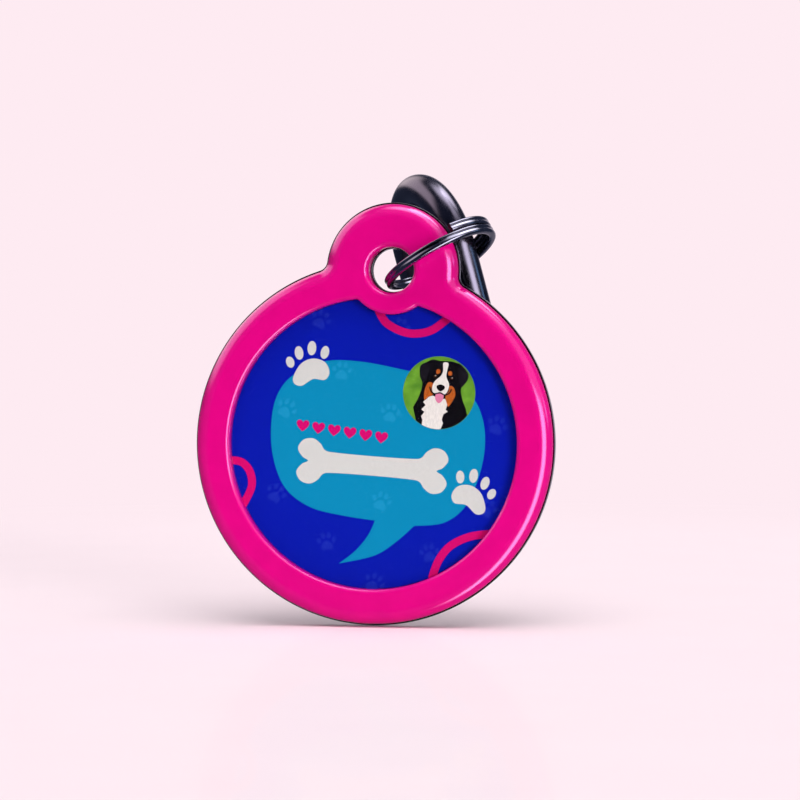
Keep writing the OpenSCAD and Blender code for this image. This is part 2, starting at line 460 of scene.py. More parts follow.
def steel_finish(name, colour, rough, scratch_size, stretch, scratch_depth, clouds=1.5 * MM):
    """Polished steel with fine scratches along one direction and cloudy roughness."""
    material, tree = empty_material(name)
    cloud = grain(tree, clouds, detail=4.0)
    scratch = grain(tree, scratch_size, stretch, detail=3.0)
    return coated(material, {
        "Base Color": tinted(tree, colour, cloud, 0.08),
        "Metallic": 1.0,
        "Roughness": spread(tree, cloud, rough * SMOOTHER, rough * ROUGHER),
        "Normal": relief(tree, [(scratch, scratch_depth), (cloud, 0.003 * MM)]),
    })


def brushed_finish(name, colour):
    """Brushed steel: long fine lines from side to side over soft clouds, with a few stray scratches."""
    material, tree = empty_material(name)
    lines = grain(tree, 0.06 * MM, (60, 1, 1), detail=6.0, roughness=0.7)
    stray = grain(tree, 0.05 * MM, (9, 1, 40), detail=2.0)
    cloud = grain(tree, 5 * MM, detail=3.0)
    shade = node(tree, "ShaderNodeHueSaturation", {
        "Color": tinted(tree, colour, lines, 0.22), "Value": spread(tree, cloud, 0.93, 1.07)})
    return coated(material, {
        "Base Color": shade.outputs["Color"],
        "Metallic": 1.0,
        "Roughness": spread(tree, lines, 0.26, 0.42),
        "Normal": relief(tree, [(lines, 0.004 * MM), (stray, 0.0012 * MM)]),
    })


def shaded_cut_finish(name, colour):
    """Near-black painted shade on the strand's cut ends, as dull steel with coarse marks."""
    material, tree = empty_material(name)
    marks = grain(tree, 0.05 * MM, (4, 1, 1), detail=3.0)
    return coated(material, {
        "Base Color": tinted(tree, colour, marks, 0.3),
        "Metallic": 0.4,
        "Roughness": spread(tree, marks, 0.55, 0.75),
        "Normal": relief(tree, [(marks, 0.004 * MM)]),
    })


# Printed ink: the size of its dots, its faint gloss and the depth of its relief
INK_DOTS = 0.09 * MM
INK_GLOSS = 0.04
INK_RELIEF = 0.001 * MM


def inked(material, colour, roughness, texture):
    """The material, with the surface that every printed ink has."""
    return coated(material, {
        "Base Color": colour,
        "Roughness": roughness,
        "Specular IOR Level": INK_GLOSS,
        "Normal": relief(material.node_tree, [(texture, INK_RELIEF)]),
    })


def ink_finish(name, colour):
    """Printed ink: satin, with a fine screen of lighter and darker dots and a little relief."""
    material, tree = empty_material(name)
    speckle = grain(tree, INK_DOTS, detail=3.0)
    wash = grain(tree, 2.5 * MM, detail=2.0)
    return inked(material, tinted(tree, colour, speckle, 0.05), spread(tree, wash, 0.42, 0.58), speckle)


def fur_finish(name, colour, change):
    """Printed fur: ink with fine upright streaks."""
    material, tree = empty_material(name)
    hair = grain(tree, 0.1 * MM, (1, 1, 4), detail=4.0, roughness=0.65)
    return inked(material, tinted(tree, colour, hair, change), spread(tree, hair, 0.45, 0.55), hair)


def meadow_finish(name, light, dark):
    """Printed meadow out of focus: soft patches of two greens."""
    material, tree = empty_material(name)
    patches = grain(tree, 0.9 * MM, detail=1.0)
    speckle = grain(tree, INK_DOTS, detail=3.0)
    green = node(tree, "ShaderNodeMix", {
        0: spread(tree, patches, 0, 1), MIX_FIRST: list(dark), MIX_LAST: list(light)}, data_type="RGBA")
    return inked(material, green.outputs[MIXED], spread(tree, speckle, 0.42, 0.58), speckle)


def cover_finish(name):
    """Clear cover that lets lamps and soft light reach the print, with hairline scratches."""
    material, tree = empty_material(name)
    hairs = grain(tree, 0.05 * MM, (12, 1, 1.5), detail=2.0)
    path = node(tree, "ShaderNodeLightPath")
    passing = maths(tree, "MAXIMUM", path.outputs["Is Shadow Ray"], path.outputs["Is Diffuse Ray"])
    pane = node(tree, "ShaderNodeBsdfPrincipled", {
        "Base Color": (1, 1, 1, 1),
        "Transmission Weight": 1.0,
        "IOR": 1.45,
        "Roughness": spread(tree, hairs, 0.01, 0.06),
    })
    clear = node(tree, "ShaderNodeBsdfTransparent", {"Color": (0.97, 0.97, 0.97, 1)})
    return surfaced(material, blend(tree, passing, pane, clear))


def geometry_tree(name, sizes, others=()):
    """A new Geometry Nodes tree with named inputs for its sizes and for its objects and material."""
    tree = bpy.data.node_groups.new(name, "GeometryNodeTree")
    given = ([("Geometry", "NodeSocketGeometry")] + [(size, "NodeSocketFloat") for size in sizes]
             + list(others) + [("Material", "NodeSocketMaterial")])
    for socket, kind in given:
        tree.interface.new_socket(socket, in_out="INPUT", socket_type=kind)
    tree.interface.new_socket("Geometry", in_out="OUTPUT", socket_type="NodeSocketGeometry")
    return tree, tree.nodes.new("NodeGroupInput").outputs


def end_tree(tree, geometry, material):
    """Ends a tree with Realize Instances and Set Material."""
    real = node(tree, "GeometryNodeRealizeInstances", {"Geometry": geometry})
    done = node(tree, "GeometryNodeSetMaterial", {"Geometry": real.outputs[0], "Material": material})
    end = tree.nodes.new("NodeGroupOutput")
    tree.links.new(done.outputs[0], end.inputs[0])


def run_tree(name, tree, values, start=None):
    """The plain mesh that a tree makes from a start mesh and its named inputs."""
    carrier = bpy.data.objects.new(name, start or bpy.data.meshes.new(name))
    bpy.context.scene.collection.objects.link(carrier)
    modifier = carrier.modifiers.new(name, "NODES")
    modifier.node_group = tree
    for item in tree.interface.items_tree:
        if item.in_out == "INPUT" and item.name in values:
            modifier[item.identifier] = values[item.name]
    depsgraph = bpy.context.evaluated_depsgraph_get()
    mesh = bpy.data.meshes.new_from_object(carrier.evaluated_get(depsgraph), depsgraph=depsgraph)
    carrier.modifiers.clear()
    bpy.data.objects.remove(carrier)
    if not mesh.polygons:
        raise RuntimeError(f"The tree {tree.name} made no faces for {name}")
    return mesh


def closed(mesh, place):
    """Merges a mesh's doubles, points its faces outwards and puts it in place."""
    shell = bmesh.new()
    shell.from_mesh(mesh)
    bmesh.ops.remove_doubles(shell, verts=shell.verts, dist=SAME_POINT)
    bmesh.ops.recalc_face_normals(shell, faces=shell.faces)
    shell.to_mesh(mesh)
    shell.free()
    mesh.transform(place)
    return mesh


class PETTAG_OT_back_plate(bpy.types.Operator):
    """Make the polished plate with its ear and hole"""
    bl_idname = "pettag.back_plate"
    bl_label = "Back plate"

    def execute(self, context):
        s = context.scene.tag_sizes
        shape = tag_shape()
        shell = Shell(shape)
        front = rounding(s.plate_front_r, 0, FRONT_EDGE_STEPS)
        back = [(inset, -s.plate_t - height)
                for inset, height in rounding(s.plate_edge_r, 0, BACK_EDGE_STEPS)]
        profile = [(back[-1][0] + BAND, back[-1][1])] + back[::-1] + front + [(front[-1][0] + BAND, 0)]
        outer = [shell.ring(blank_outline(shape, inset), height) for inset, height in profile]
        holes = [(inset, -s.plate_t - height) for inset, height in front[::-1]] + front
        inner = [shell.ring(hole_outline(shape, shape.hole_r + growth), height) for growth, height in holes]
        shell.wall(outer)
        shell.wall(inner, inner=True)
        shell.lid([outer[0], inner[0]], back=True)
        shell.lid([outer[-1], inner[-1]])
        steel = steel_finish("plate steel", context.scene.tag_colours.plate, rough=0.14,
                             scratch_size=0.05 * MM, stretch=(30, 1, 1), scratch_depth=0.0012 * MM)
        piece = shell.piece("plate", steel)
        second_finish(piece, brushed_finish("brushed steel", context.scene.tag_colours.back),
                      lambda face: face.normal.y > FACING)
        keep(piece, "tag", "plate_steel", "back_plate")
        return {"FINISHED"}


class PETTAG_OT_colour_frame(bpy.types.Operator):
    """Make the enamelled frame with its window, boss and hole"""
    bl_idname = "pettag.colour_frame"
    bl_label = "Colour frame"

    def execute(self, context):
        s = context.scene.tag_sizes
        shape = tag_shape()
        shell = Shell(shape)
        outer = [shell.ring(blank_outline(shape, s.ledge + inset), height)
                 for inset, height in stepped(s.outer_edge_r, s.frame_h)]
        window = [shell.ring(window_outline(shape, growth), height)
                  for growth, height in stepped(s.window_lip_r, s.frame_h)]
        hole = [shell.ring(hole_outline(shape, shape.frame_hole_r + growth), height)
                for growth, height in stepped(s.hole_lip_r, s.frame_h)]
        shell.wall(outer)
        shell.wall(window, inner=True)
        shell.wall(hole, inner=True)
        shell.lid([outer[0], window[0], hole[0]], back=True)
        shell.lid([outer[-1], window[-1], hole[-1]])
        enamel = enamel_finish("pink enamel", context.scene.tag_colours.frame)
        keep(shell.piece("frame_enamel", enamel), "tag", "pink_enamel", "colour_frame")
        return {"FINISHED"}


def stepped(radius, height):
    """(inset, height) steps of a straight wall, its rounded upper edge and a narrow flat band."""
    return [(0, 0)] + rounding(radius, height) + [(radius + BAND, height)]


class PETTAG_OT_insert(bpy.types.Operator):
    """Make the adhesive film, the printed ground and the clear cover"""
    bl_idname = "pettag.insert"
    bl_label = "Picture insert"

    def execute(self, context):
        s = context.scene.tag_sizes
        colours = context.scene.tag_colours
        shape = tag_shape()
        outline = window_outline(shape, -s.insert_gap)
        film = Shell(shape)
        film.prism(outline, 0, s.film_t)
        keep(film.piece("adhesive", ink_finish("adhesive", colours.adhesive)),
             "tag", "adhesive", "adhesive_film")
        field = Shell(shape)
        field.prism(outline, s.film_t, ink_level(0))
        keep(field.piece("print_field", ink_finish("field ink", colours.field)), "tag", "print", "print_disc")
        cover = Shell(shape)
        cover.prism(outline, s.film_t + s.print_t, s.film_t + s.print_t + s.cover_t)
        keep(cover.piece("cover", cover_finish("clear cover")), "tag", "clear_cover", "clear_cover")
        return {"FINISHED"}


# Layers of ink that lie over each other, above the blue ground
ON_FIELD, ON_BUBBLE, ON_GROUND, ON_COAT, ON_FACE = range(1, 6)
INK_LAYERS = 6


def ink_level(layer):
    """Height of a layer of ink above the plate. The top one stays one step below the cover."""
    s = bpy.context.scene.tag_sizes
    return s.film_t + s.print_t - (INK_LAYERS - layer) * s.ink_step


def oval(centre, width, height=None, turn=0.0, steps=OVAL_STEPS):
    """Points round an oval, in millimetres, turned by degrees."""
    height = width if height is None else height
    spin = Matrix.Rotation(math.radians(turn), 2)
    return [Vector(centre) + spin @ Vector((math.cos(a) * width / 2, math.sin(a) * height / 2))
            for a in (math.tau * i / steps for i in range(steps))]


def smooth(points, steps=8, loop=True):
    """Points on a smooth curve through the given ones, in millimetres."""
    points = [Vector(p) for p in points]
    count = len(points)
    made = []
    for i in range(count if loop else count - 1):
        if loop:
            a, b, c, d = (points[(i + k) % count] for k in (-1, 0, 1, 2))
        else:
            a, b, c, d = (points[min(max(i + k, 0), count - 1)] for k in (-1, 0, 1, 2))
        for k in range(steps):
            t = k / steps
            made.append(0.5 * (2 * b + (c - a) * t + (2 * a - 5 * b + 4 * c - d) * t * t
                               + (3 * b - a - 3 * c + d) * t ** 3))
    return made if loop else made + [points[-1]]


def band(points, width, steps=10):
    """Outline of a band of even width along a smooth open curve, with round ends, in millimetres."""
    line = smooth(points, steps, loop=False)
    sides = []
    for i, p in enumerate(line):
        along = (line[min(i + 1, len(line) - 1)] - line[max(i - 1, 0)]).normalized()
        sides.append(Vector((-along.y, along.x)) * width / 2)

    def cap(centre, side):
        return [centre + Matrix.Rotation(-math.pi * k / CAP_STEPS, 2) @ side for k in range(1, CAP_STEPS)]

    left = [p + s for p, s in zip(line, sides)]
    right = [p - s for p, s in zip(line, sides)]
    return left + cap(line[-1], sides[-1]) + right[::-1] + cap(line[0], -sides[0])


def ink_blocks(shape, outlines, layer):
    """Thin blocks of ink up to a layer, from outlines in millimetres."""
    shell = Shell(shape)
    step = bpy.context.scene.tag_sizes.ink_step
    for outline in outlines:
        shell.prism([p * MM for p in outline], ink_level(0) - step / 2, ink_level(layer))
    return shell


def printed(name, outlines, layer, finish):
    """A figure of the print, as one mesh."""
    keep(ink_blocks(tag_shape(), outlines, layer).piece(name, finish), "tag", "print")


# The print, in millimetres from the middle of the disc
BUBBLE_BODY = [
    (4.4, -6.75), (6.9, -6.2), (8.6, -4.7), (9.5, -2.3), (9.85, 0.6), (9.4, 3.2), (8.1, 5.2), (5.6, 6.3),
    (2.0, 6.75), (-2.0, 7.05), (-5.2, 6.7), (-7.7, 5.3), (-9.0, 3.4), (-9.3, 0.8), (-8.8, -2.2), (-7.4, -4.8),
    (-5.0, -6.2), (-2.0, -6.6), (0.9, -6.7),
]
BUBBLE_TAIL = [(0.9, -6.7), (0.4, -8.1), (-0.6, -9.6), (-1.9, -10.85)]
TAIL_BACK = [(-1.9, -10.85), (1.2, -9.75), (3.0, -8.3), (4.4, -6.75)]
BANDS = [
    [(-0.8, 11.6), (0.1, 10.6), (2.0, 10.0), (3.9, 10.4), (5.3, 11.6)],
    [(-12.5, -2.9), (-11.5, -3.0), (-10.7, -3.8), (-10.45, -5.1), (-11.1, -6.9)],
    [(11.3, -6.6), (9.4, -7.1), (7.8, -8.1), (6.9, -9.5), (6.5, -11.0)],
]
BAND_WIDTH = 0.7

# A small paw one millimetre wide: its pad, and its toes as (centre, width, height, turn)
PAD = [(-0.3, -0.2), (-0.24, -0.37), (-0.08, -0.37), (0.08, -0.37), (0.24, -0.37), (0.3, -0.2), (0.16, 0.0),
       (0.0, 0.08), (-0.16, 0.0)]
TOES = [((-0.39, 0.10), 0.19, 0.28, 22), ((-0.15, 0.33), 0.20, 0.30, 6), ((0.15, 0.33), 0.20, 0.30, -6),
        ((0.39, 0.10), 0.19, 0.28, -22)]

# A large paw that leans to one side, in millimetres from its pad's middle
WHITE_PAD = [(-1.55, -0.55), (-1.0, 0.6), (0.0, 1.15), (1.1, 0.95), (1.6, 0.1), (1.25, -0.6), (0.2, -0.65),
             (-0.75, -1.35), (-1.45, -1.2)]
WHITE_TOES = [((-2.0, 0.6), 0.72, 1.0, 25), ((-1.3, 1.5), 0.76, 1.2, 15), ((-0.2, 2.05), 0.78, 1.25, 2),
              ((1.0, 1.8), 0.74, 1.15, -8)]

# White paws as (pad's middle, size, turn, leaning side)
WHITE_PAWS = [((-6.2, 5.7), 1.0, 0, 1), ((8.95, -3.75), 0.97, 0, -1)]
PALE_PAWS_ON_FIELD = [(-5.9, 10.3), (1.2, 10.4), (10.7, 2.8), (-8.2, -5.4), (10.6, -4.5), (-3.2, -9.1),
                      (6.0, -9.0), (1.4, -12.2)]
PALE_PAWS_ON_BUBBLE = [(-3.5, 6.0), (-8.1, 2.15), (1.2, 2.8), (1.25, -5.0)]
PALE_PAW_WIDTH = 1.8

# Each pale paw turns by chance up to this much either way, and grows by chance within this range
PALE_PAW_TURN = math.radians(25)
PALE_PAW_GROWTH = (0.95, 1.05)
FIELD_SEED, BUBBLE_SEED, HEART_SEED = 3, 5, 7

# The bone, from its middle: the upper right quarter of its outline, from the end's notch inwards
BONE_AT = (0.1, -1.95)
BONE_END = [(5.75, 0.0), (6.3, 0.35), (6.72, 1.05), (6.3, 1.8), (5.45, 2.0), (4.75, 1.6), (4.3, 1.05),
            (3.4, 0.9)]
BONE_MIDDLE = (0.0, 0.85)

# The row of hearts: its first heart, spacing, count and slope, and the right half of a heart one
# millimetre wide. The bone has the same slope.
ROW_FROM = (-6.45, 0.85)
ROW_STEP = 1.42
ROW_COUNT = 6
ROW_SLOPE = 2.0
HEART_WIDTH = 1.12
HEART_HALF = [(0.0, 0.26), (0.1, 0.4), (0.27, 0.46), (0.44, 0.38), (0.5, 0.19), (0.42, -0.03), (0.22, -0.25),
              (0.0, -0.44)]


def turned(outline, centre, size, turn):
    """An outline about the origin, scaled, turned by degrees and moved, in millimetres."""
    spin = Matrix.Rotation(math.radians(turn), 2)
    return [Vector(centre) + spin @ (Vector(p) * size) for p in outline]


def paw(pad, toes, centre, size, turn, side=1):
    """Outlines of a paw's pad and toes. Side -1 mirrors it."""
    shapes = [smooth(pad)] + [oval(*toe) for toe in toes]
    mirrored = [[Vector((side * p.x, p.y)) for p in shape] for shape in shapes]
    return [turned(shape, centre, size, turn) for shape in mirrored]


def heart():
    """Outline of a heart, in millimetres."""
    half = smooth(HEART_HALF, loop=False)
    return [p * HEART_WIDTH for p in half + [Vector((-p.x, p.y)) for p in half[-2:0:-1]]]


def scatter_tree():
    """Puts a figure on each point of a start mesh, with a small chance turn and growth."""
    tree, given = geometry_tree(
        "scattered figures", ["Most Turn", "Smallest", "Largest"],
        [("Figure", "NodeSocketObject"), ("Seed", "NodeSocketInt")])
    figure = node(tree, "GeometryNodeObjectInfo", {"Object": given["Figure"]})
    back = maths(tree, "MULTIPLY", given["Most Turn"], -1.0)
    chance = node(tree, "FunctionNodeRandomValue", {
        "Seed": given["Seed"], CHANCE_FROM: back, CHANCE_TO: given["Most Turn"]}, data_type="FLOAT")
    spin = node(tree, "ShaderNodeCombineXYZ", {"Y": chance.outputs[CHOSEN]})
    size = node(tree, "FunctionNodeRandomValue", {
        "Seed": given["Seed"], CHANCE_FROM: given["Smallest"], CHANCE_TO: given["Largest"]},
        data_type="FLOAT")
    growth = node(tree, "ShaderNodeCombineXYZ", {
        "X": size.outputs[CHOSEN], "Y": 1.0, "Z": size.outputs[CHOSEN]})
    placed = node(tree, "GeometryNodeInstanceOnPoints", {
        "Points": given["Geometry"], "Instance": figure.outputs["Geometry"],
        "Rotation": spin.outputs[0], "Scale": growth.outputs[0]})
    end_tree(tree, placed.outputs[0], given["Material"])
    return tree


def scattered(name, outlines, places, layer, finish, seed, most_turn=0.0, growth=(1.0, 1.0)):
    """A figure of the print repeated at places, as one mesh."""
    centred = SimpleNamespace(middle=Vector())
    pattern = ink_blocks(centred, outlines, layer).piece(name + "_pattern", finish)
    points = bpy.data.meshes.new(name)
    points.from_pydata([tag_shape().middle + Vector((u, 0, v)) * MM for u, v in places], [], [])
    mesh = run_tree(name, scatter_tree(), {
        "Figure": pattern, "Seed": seed, "Most Turn": most_turn, "Smallest": growth[0], "Largest": growth[1],
        "Material": finish}, points)
    bpy.data.objects.remove(pattern)
    keep(mesh_piece(name, mesh, finish), "tag", "print")


class PETTAG_OT_figures(bpy.types.Operator):
    """Print the bubble, the paws, the bands, the bone and the row of hearts"""
    bl_idname = "pettag.figures"
    bl_label = "Print figures"

    def execute(self, context):
        colours = context.scene.tag_colours
        bubble = (smooth(BUBBLE_BODY, loop=False) + smooth(BUBBLE_TAIL, loop=False)[1:]
                  + smooth(TAIL_BACK, loop=False)[1:-1])
        printed("print_bubble", [bubble], ON_FIELD, ink_finish("bubble ink", colours.bubble))
        printed("print_bands", [band(line, BAND_WIDTH) for line in BANDS], ON_BUBBLE,
                ink_finish("band ink", colours.bands))
        white = ink_finish("white ink", colours.white)
        paws = [part for place in WHITE_PAWS for part in paw(WHITE_PAD, WHITE_TOES, *place)]
        printed("print_white_paws", paws, ON_BUBBLE, white)
        printed("print_bone", bone(), ON_BUBBLE, white)
        small = paw(PAD, TOES, (0, 0), PALE_PAW_WIDTH, 0)
        scattered("print_pale_paws", small, PALE_PAWS_ON_FIELD, ON_FIELD,
                  ink_finish("pale paw ink", colours.pale_paws), FIELD_SEED, PALE_PAW_TURN, PALE_PAW_GROWTH)
        scattered("print_cyan_paws", small, PALE_PAWS_ON_BUBBLE, ON_BUBBLE,
                  ink_finish("cyan paw ink", colours.cyan_paws), BUBBLE_SEED, PALE_PAW_TURN, PALE_PAW_GROWTH)
        rise = math.tan(math.radians(ROW_SLOPE))
        row = [(ROW_FROM[0] + i * ROW_STEP, ROW_FROM[1] - i * ROW_STEP * rise)
               for i in range(ROW_COUNT)]
        scattered("print_hearts", [heart()], row, ON_BUBBLE,
                  ink_finish("heart ink", colours.bands), HEART_SEED)
        return {"FINISHED"}


def bone():
    """Outline of the bone, with two round lobes at each end."""
    upper = BONE_END + [BONE_MIDDLE] + [(-u, v) for u, v in reversed(BONE_END)]
    lower = [(u, -v) for u, v in upper[-2:0:-1]]
    return [turned(smooth(upper + lower), BONE_AT, 1, ROW_SLOPE)]


# The portrait, in millimetres from its own middle
PORTRAIT_AT = (5.3, 5.1)
PORTRAIT_D = 6.4
HEAD = [(-2.15, -1.5), (-1.75, -0.55), (-1.55, 0.6), (-1.85, 1.3), (-1.9, 2.15), (-1.4, 2.55), (-0.85, 2.85),
        (-0.2, 2.8), (0.6, 2.85), (1.2, 2.8), (1.75, 2.6), (2.4, 1.9), (2.3, 1.2), (1.9, 0.6), (2.1, -0.3),
        (2.5, -1.1)]
HEAD_RIM = (-32, -132)
EARS = [
    [(-1.85, 2.15), (-1.45, 2.5), (-1.05, 2.3), (-1.15, 1.6), (-1.45, 0.75), (-1.8, 1.3)],
    [(2.35, 1.9), (1.8, 2.5), (1.5, 2.2), (1.6, 1.5), (1.9, 0.75), (2.25, 1.2)],
]
BLAZE = [(0.1, 2.65), (0.55, 2.65), (0.5, 2.0), (0.5, 1.45), (0.8, 0.85), (0.75, 0.3), (0.5, -0.1),
         (0.05, 0.0), (-0.4, -0.1), (-0.65, 0.3), (-0.5, 0.95), (0.0, 1.5), (0.15, 2.0)]
BROWS = [((-0.28, 1.85), 0.36, 0.44, -12), ((0.8, 1.8), 0.36, 0.42, 12)]
EYES = [((-0.5, 1.42), 0.26, 0.22, 0), ((0.98, 1.38), 0.26, 0.22, 0)]
GLINTS = [((-0.46, 1.47), 0.08, 0.07, 0), ((1.02, 1.43), 0.08, 0.07, 0)]
CHEEKS = [
    [(-1.05, 0.8), (-0.62, 0.75), (-0.72, 0.3), (-0.55, -0.2), (-0.85, -0.45), (-1.2, -0.75), (-1.3, 0.0)],
    [(0.85, 0.7), (1.25, 0.6), (1.45, 0.0), (1.3, -0.5), (0.95, -1.1), (0.7, -0.6), (0.6, -0.2),
     (0.85, 0.25)],
]
CHEST = [(-0.95, -0.45), (-0.5, -0.3), (0.1, -0.55), (0.6, -0.45), (0.85, -0.95), (0.75, -1.4), (0.95, -1.55),
         (0.6, -1.8), (0.5, -2.3), (0.65, -2.6), (0.5, -3.1)]
CHEST_RIM = (-82, -115)
CHEST_LEFT = [(-1.2, -2.5), (-1.35, -2.2), (-1.1, -1.8), (-1.4, -1.6), (-1.05, -1.2), (-1.3, -0.95)]
NOSE = [(-0.25, 0.6), (0.1, 0.75), (0.45, 0.6), (0.4, 0.35), (0.1, 0.15), (-0.2, 0.35)]
SMILE = [(-0.85, 0.4), (-0.7, 0.05), (-0.35, -0.12), (0.1, 0.02), (0.5, -0.12), (0.9, 0.05), (1.05, 0.4)]
SMILE_WIDTH = 0.12
TONGUE = [(-0.25, -0.12), (0.08, -0.05), (0.42, -0.12), (0.38, -0.6), (0.08, -0.9), (-0.25, -0.6)]


def rim(ends, inset=0.02):
    """Points along the portrait's round edge between two turns, in degrees."""
    start, end = (math.radians(a) for a in ends)
    return arc((0, 0), PORTRAIT_D / 2 - inset, start, end, RIM_STEPS)


class PETTAG_OT_portrait(bpy.types.Operator):
    """Print the round portrait of a dog"""
    bl_idname = "pettag.portrait"
    bl_label = "Dog portrait"

    def execute(self, context):
        colours = context.scene.tag_colours

        def part(name, outlines, layer, finish):
            printed(name, [turned(outline, PORTRAIT_AT, 1, 0) for outline in outlines], layer, finish)

        part("portrait_ground", [oval((0, 0), PORTRAIT_D, steps=PORTRAIT_STEPS)], ON_BUBBLE,
             meadow_finish("meadow ink", colours.meadow, colours.leaf_shade))
        coat = fur_finish("coat ink", colours.coat, 0.5)
        cream = fur_finish("cream ink", colours.cream, 0.12)
        tan = fur_finish("tan ink", colours.tan, 0.3)
        part("portrait_coat", [smooth(HEAD, loop=False)[:-1] + rim(HEAD_RIM)], ON_GROUND, coat)
        part("portrait_ears", [smooth(ear) for ear in EARS], ON_COAT,
             fur_finish("ear ink", colours.ear, 0.4))
        part("portrait_blaze", [smooth(BLAZE)], ON_COAT, cream)
        part("portrait_chest", [CHEST + rim(CHEST_RIM) + CHEST_LEFT], ON_COAT, cream)
        part("portrait_tan", [smooth(cheek) for cheek in CHEEKS] + [oval(*brow) for brow in BROWS],
             ON_COAT, tan)
        part("portrait_eyes", [oval(*eye) for eye in EYES], ON_COAT, ink_finish("eye ink", colours.eyes))
        part("portrait_glints", [oval(*glint) for glint in GLINTS], ON_FACE, cream)
        part("portrait_nose", [smooth(NOSE), band(SMILE, SMILE_WIDTH)], ON_FACE, coat)
        part("portrait_tongue", [smooth(TONGUE)], ON_FACE, ink_finish("tongue ink", colours.tongue))
        return {"FINISHED"}


class PETTAG_OT_split_ring(bpy.types.Operator):
    """Coil the grooved strand of the split ring"""
    bl_idname = "pettag.split_ring"
    bl_label = "Split ring"

    def execute(self, context):
        r = context.scene.ring_sizes
        steel = steel_finish("ring steel", context.scene.tag_colours.rings, rough=0.16,
                             scratch_size=0.04 * MM, stretch=(1, 1, 8), scratch_depth=0.0015 * MM,
                             clouds=0.8 * MM)
        section = strand_section(r)
        mesh = run_tree("split_ring", strand_tree(), {
            "Middle Radius": r.ring_d / 2 - r.strand_w / 2, "Turns": r.turns,
            "Level Step": r.strand_h + r.strand_gap, "Section": section, "Material": steel})
        bpy.data.objects.remove(section)
        across, along, turn = r.ring_turned
        place = (Matrix.Translation(r.ring_centre) @ Matrix.Rotation(turn, 4, "Z")
                 @ Matrix.Rotation(along, 4, "Y") @ Matrix.Rotation(across, 4, "X")
                 @ Matrix.Rotation(r.cut_end, 4, "Z"))
        piece = mesh_piece("coiled_ring", closed(mesh, place), steel)
        # The cut ends take a near-black painted shade.
        second_finish(piece, shaded_cut_finish("cut ends painted shade", context.scene.tag_colours.cut),
                      lambda face: len(face.vertices) > SIDE_CORNERS)
        keep(piece, "ring", "ring_steel", "split_ring")
        return {"FINISHED"}


def strand_section(sizes):
    """Curve round the strand's section: two rounded ridges inside and outside, with a groove between."""
    ridge = sizes.strand_h / 4
    half = sizes.strand_w / 2
    groove = half - sizes.groove_depth
    dip = math.asin((ridge - sizes.groove_depth) / ridge)
    outline = []
    for side in (1, -1):
        centre = (side * (half - ridge), side * ridge)
        opposite = (side * (ridge - half), side * ridge)
        start = 0 if side == 1 else math.pi
        outline += [Vector((side * groove, 0))]
        outline += arc(centre, ridge, start - dip / 2, start + math.pi / 2, RIDGE_STEPS)
        outline += [Vector((centre[0], centre[1] + side * ridge))]
        outline += [Vector((-centre[0], centre[1] + side * ridge))]
        outline += arc(opposite, ridge, start + math.pi / 2, start + math.pi + dip / 2, RIDGE_STEPS)[1:]
    curve = bpy.data.curves.new("strand section", "CURVE")
    curve.dimensions = "2D"
    spline = curve.splines.new("POLY")
    spline.points.add(len(outline) - 1)
    for point, place in zip(spline.points, outline):
        point.co = (place.x, place.y, 0, 1)
    spline.use_cyclic_u = True
    section = bpy.data.objects.new("strand section", curve)
    bpy.context.scene.collection.objects.link(section)
    return section


def strand_tree():
    """Sweeps a section round a flat coil that steps down a level in its middle third."""
    tree, given = geometry_tree(
        "coiled strand", ["Middle Radius", "Turns", "Level Step"], [("Section", "NodeSocketObject")])
    coil = node(tree, "GeometryNodeCurveSpiral", {
        "Resolution": COIL_STEPS, "Rotations": given["Turns"], "Start Radius": given["Middle Radius"],
        "End Radius": given["Middle Radius"], "Height": 0.0, "Reverse": True})
    along = node(tree, "GeometryNodeSplineParameter")
    swing = maths(tree, "COSINE", ranged(tree, along.outputs["Factor"], 1 / 3, 2 / 3, 0.0, math.pi))
    half = maths(tree, "MULTIPLY", given["Level Step"], 0.5)
    level = maths(tree, "MULTIPLY", swing, half)
    lift = node(tree, "ShaderNodeCombineXYZ", {"Z": level})
    stepped_coil = node(tree, "GeometryNodeSetPosition", {
        "Geometry": coil.outputs[0], "Offset": lift.outputs[0]})
    upright = node(tree, "GeometryNodeSetCurveNormal", {"Curve": stepped_coil.outputs[0]}, mode="Z_UP")
    section = node(tree, "GeometryNodeObjectInfo", {"Object": given["Section"]})
    swept = node(tree, "GeometryNodeCurveToMesh", {
        "Curve": upright.outputs[0], "Profile Curve": section.outputs["Geometry"], "Fill Caps": True})
    end_tree(tree, swept.outputs[0], given["Material"])
    return tree


class PETTAG_OT_strap_ring(bpy.types.Operator):
    """Bend the thick wire of the strap ring"""
    bl_idname = "pettag.strap_ring"
    bl_label = "Strap ring"

    def execute(self, context):
        r = context.scene.ring_sizes
        steel = steel_finish("wire steel", context.scene.tag_colours.wire, rough=0.22,
                             scratch_size=0.06 * MM, stretch=(1, 1, 10), scratch_depth=0.0015 * MM)
        mesh = run_tree("strap_ring", loop_tree(), {
            "Bend Radius": (r.slot_w + r.wire_d) / 2, "Leg Length": r.slot_h - r.slot_w,
            "Wire Radius": r.wire_d / 2, "Material": steel})
        tilt, lean, turn = r.hanger_turned
        place = (Matrix.Rotation(lean, 4, "Y") @ Matrix.Rotation(tilt, 4, "X")
                 @ Matrix.Rotation(turn, 4, "Z") @ Matrix.Rotation(math.pi / 2, 4, "X"))
        keep(mesh_piece("bent_wire", closed(mesh, place), steel), "hanger", "wire_steel", "strap_ring")
        return {"FINISHED"}


